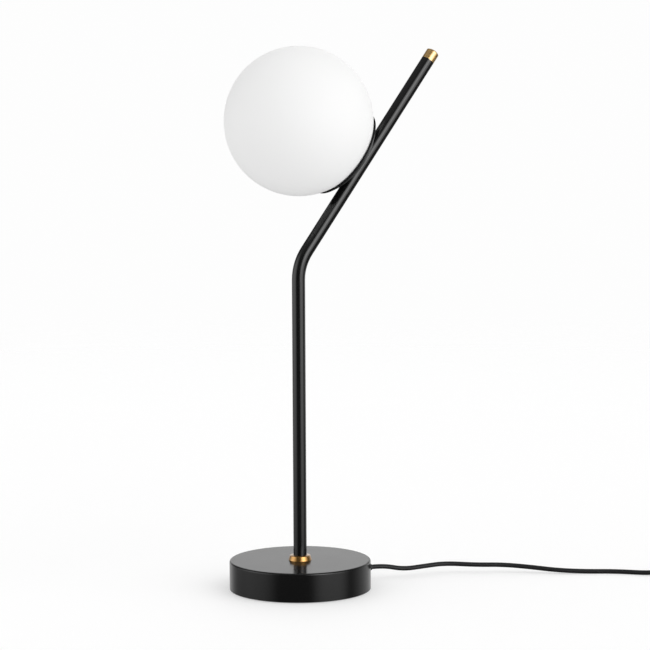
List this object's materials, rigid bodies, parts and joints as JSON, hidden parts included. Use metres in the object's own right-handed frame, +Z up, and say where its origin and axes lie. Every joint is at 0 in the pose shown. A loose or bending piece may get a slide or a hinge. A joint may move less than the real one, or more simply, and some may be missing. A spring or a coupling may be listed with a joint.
{
  "type": "globe table lamp",
  "caption": "Table lamp with an opal glass ball in a shallow dish on the leaning arm of a bent tube stem, a round weighted foot, brass trim and a lead with an in-line rocker switch.",
  "frame": {"origin": "on the floor, under the middle of the round foot", "axes": "+Z up; the stem stands on Z, its arm leans towards +X, and the lead leaves the foot on that side"},
  "size_m": [0.6457, 0.2305, 0.5505],
  "materials": {
    "black_paint": "satin black powder coat",
    "brass": "satin brass, lacquered",
    "opal_glass": "satin opal white, not see-through",
    "bulb_glass": "frosted white",
    "iron": "as cast",
    "steel": "zinc plated",
    "felt": "pressed felt",
    "soft_rubber": "soft moulded",
    "lead_cover": "smooth, low sheen",
    "black_plastic": "fine moulded texture",
    "white_plastic": "moulded",
    "contact_brass": "stamped",
    "wire_cover": "extruded",
    "pin_metal": "nickel plated"
  },
  "bodies": {
    "lamp": {"base_cover": "black_paint", "stem": "black_paint", "globe_dish": "black_paint", "stem_collar": "brass", "end_cap": "brass", "globe": "opal_glass", "bulb_envelope": "bulb_glass", "base_weight": "iron", "base_plate": "steel", "base_screws": "steel", "stem_nipple": "steel", "stem_washer": "steel", "stem_nut": "steel", "arm_nipple": "steel", "carrier_nut": "steel", "switch_screws": "steel", "bulb_cap": "steel", "lampholder_shell": "steel", "foot_pad": "felt", "globe_gasket": "soft_rubber", "cord_bush": "soft_rubber", "cord_free": "lead_cover", "cord_coil": "lead_cover", "inner_lead": "lead_cover", "switch_base": "black_plastic", "switch_cover": "black_plastic", "plug_body": "black_plastic", "cord_tie": "black_plastic", "globe_carrier": "white_plastic", "globe_ring": "white_plastic", "lampholder_cap": "white_plastic", "lampholder_barrel": "white_plastic", "lampholder_contact": "contact_brass", "lampholder_terminals": "contact_brass", "switch_terminals": "contact_brass", "bulb_contact": "contact_brass", "lamp_wires": "wire_cover", "plug_pins": "pin_metal"},
    "rocker": {"switch_rocker": "black_plastic"}
  },
  "joints": [
    {"name": "rocker_tilt", "type": "hinge", "parent": "lamp", "child": "rocker", "pos_m": [0.4286, -0.1409, 0.013], "axis": [0.1736, 0.9848, 0], "range_deg": [0, 16]}
  ]
}
